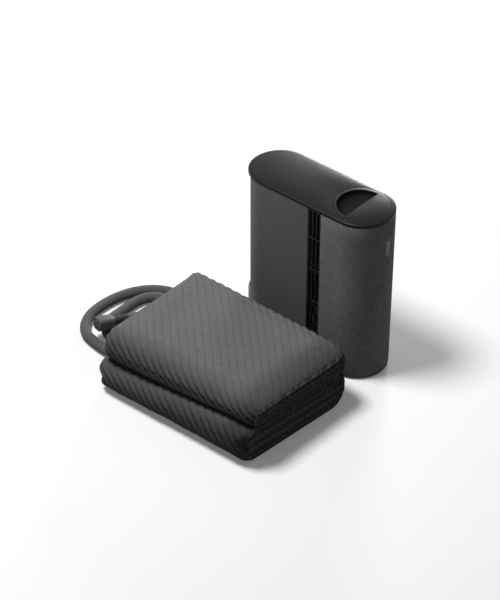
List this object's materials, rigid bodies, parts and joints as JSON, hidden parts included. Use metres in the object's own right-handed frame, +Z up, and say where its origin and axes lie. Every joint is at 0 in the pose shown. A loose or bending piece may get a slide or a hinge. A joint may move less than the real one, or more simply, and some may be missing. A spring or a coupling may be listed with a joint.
{
  "type": "water cooling mattress pad",
  "caption": "Standing water-cooling hub with a lift-out tank, a folded quilted mattress pad and its hose with a multi-port connector.",
  "frame": {"origin": "on the floor, at the middle of the box round the hub and the folded pad, without the hose and its connector", "axes": "+Z up. +Y from the pad to the hub. +X along the hub, from its recessed rear panel to its fabric end"},
  "size_m": [0.6562, 0.5372, 0.43],
  "materials": {
    "hub_plastic": "satin",
    "base_plastic": "matte",
    "vent_plastic": "matte",
    "hub_fabric": "woven",
    "rubber": "matte",
    "light_lens": "satin",
    "steel": "satin",
    "aluminium": "satin",
    "ceramic": "matte",
    "board": "satin",
    "inner_plastic": "satin",
    "tank_plastic": "gloss",
    "seal_rubber": "matte",
    "silicone": "satin",
    "pad_fabric": "quilted knit",
    "grid_fabric": "soft",
    "hose_sleeve": "satin",
    "connector_plastic": "satin"
  },
  "bodies": {
    "set": {"base_tray": "base_plastic", "foot_rear_right": "rubber", "foot_rear_left": "rubber", "foot_front_right": "rubber", "foot_front_left": "rubber", "rear_shell": "hub_plastic", "front_shell": "inner_plastic", "fabric_wrap": "hub_fabric", "status_light": "light_lens", "vent_grille_right": "vent_plastic", "vent_grille_left": "vent_plastic", "top_cap": "hub_plastic", "rear_panel": "hub_plastic", "panel_screw_1": "steel", "panel_screw_2": "steel", "panel_screw_3": "steel", "panel_screw_4": "steel", "hose_socket": "base_plastic", "mains_inlet": "base_plastic", "fan_frame_upper": "base_plastic", "fan_frame_lower": "base_plastic", "heat_sink": "aluminium", "thermoelectric_upper": "ceramic", "thermoelectric_lower": "ceramic", "cold_plate": "aluminium", "pump_right": "inner_plastic", "pump_left": "inner_plastic", "power_supply": "aluminium", "control_board": "board", "tank_well": "inner_plastic", "well_seal": "seal_rubber", "feed_tube_right": "silicone", "feed_tube_left": "silicone", "plate_tube_right": "silicone", "plate_tube_left": "silicone", "socket_tube_right": "silicone", "socket_tube_left": "silicone", "quilted_cover": "pad_fabric", "water_grid": "grid_fabric", "pad_manifold": "rubber", "hose_boot": "rubber", "hose": "hose_sleeve", "connector_shell": "connector_plastic", "port_block": "base_plastic", "connector_boot": "rubber"},
    "tank": {"water_tank": "tank_plastic", "tank_lid": "hub_plastic", "lid_seal": "seal_rubber", "valve_cage": "inner_plastic", "valve_spring": "steel"},
    "plunger": {"valve_plunger": "seal_rubber"},
    "fan_upper": {"fan_rotor_upper": "base_plastic"},
    "fan_lower": {"fan_rotor_lower": "base_plastic"},
    "impeller_right": {"impeller_right": "base_plastic"},
    "impeller_left": {"impeller_left": "base_plastic"},
    "button": {"release_button": "base_plastic"}
  },
  "joints": [
    {"name": "tank_lift", "type": "slide", "parent": "set", "child": "tank", "axis": [0, 0, 1], "range_m": [0, 0.26]},
    {"name": "valve_travel", "type": "slide", "parent": "tank", "child": "plunger", "axis": [0, 0, 1], "range_m": [0, 0.003], "stiffness_N_per_m": 200, "springref_m": -0.001, "deforming": ["valve_spring"]},
    {"name": "fan_upper_spin", "type": "hinge", "parent": "set", "child": "fan_upper", "pos_m": [-0.1037, 0.19415, 0.345], "axis": [1, 0, 0], "continuous": true},
    {"name": "fan_lower_spin", "type": "hinge", "parent": "set", "child": "fan_lower", "pos_m": [-0.1037, 0.19415, 0.222], "axis": [1, 0, 0], "continuous": true},
    {"name": "impeller_right_spin", "type": "hinge", "parent": "set", "child": "impeller_right", "pos_m": [0.1445, 0.16015, 0.0188], "axis": [0, 0, 1], "continuous": true},
    {"name": "impeller_left_spin", "type": "hinge", "parent": "set", "child": "impeller_left", "pos_m": [0.1445, 0.22815, 0.0188], "axis": [0, 0, 1], "continuous": true},
    {"name": "release_button_press", "type": "slide", "parent": "set", "child": "button", "axis": [1, 0, 0], "range_m": [0, 0.0025], "stiffness_N_per_m": 400, "springref_m": -0.001}
  ]
}
